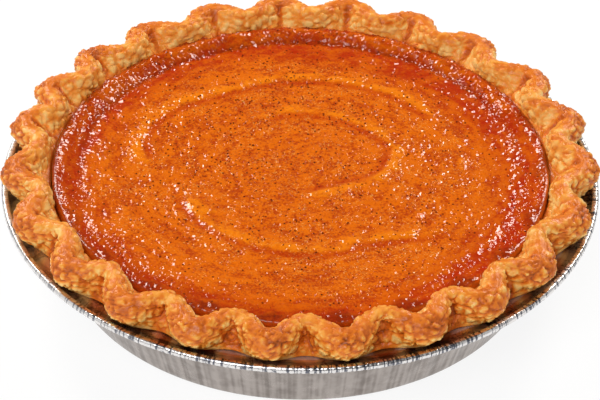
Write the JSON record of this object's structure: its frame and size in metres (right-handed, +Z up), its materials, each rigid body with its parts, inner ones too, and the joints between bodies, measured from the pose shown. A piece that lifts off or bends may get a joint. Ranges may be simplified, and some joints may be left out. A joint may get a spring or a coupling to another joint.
{
  "type": "sweet potato pie",
  "caption": "Whole uncut sweet potato pie with a crimped pastry rim and a swirled glossy filling, in its own round foil pan.",
  "frame": {"origin": "centre of the pan's flat underside, on the surface the pie rests on", "axes": "+Z up out of the pie; the camera's side of the pie is -Y"},
  "size_m": [0.244, 0.244, 0.0519],
  "materials": {
    "foil": "satin, crimped foil",
    "pastry": "baked pastry, matt with a light sheen",
    "custard": "wet, glossy baked custard"
  },
  "bodies": {
    "root": {"pan": "foil", "crust": "pastry", "filling": "custard"}
  },
  "joints": []
}
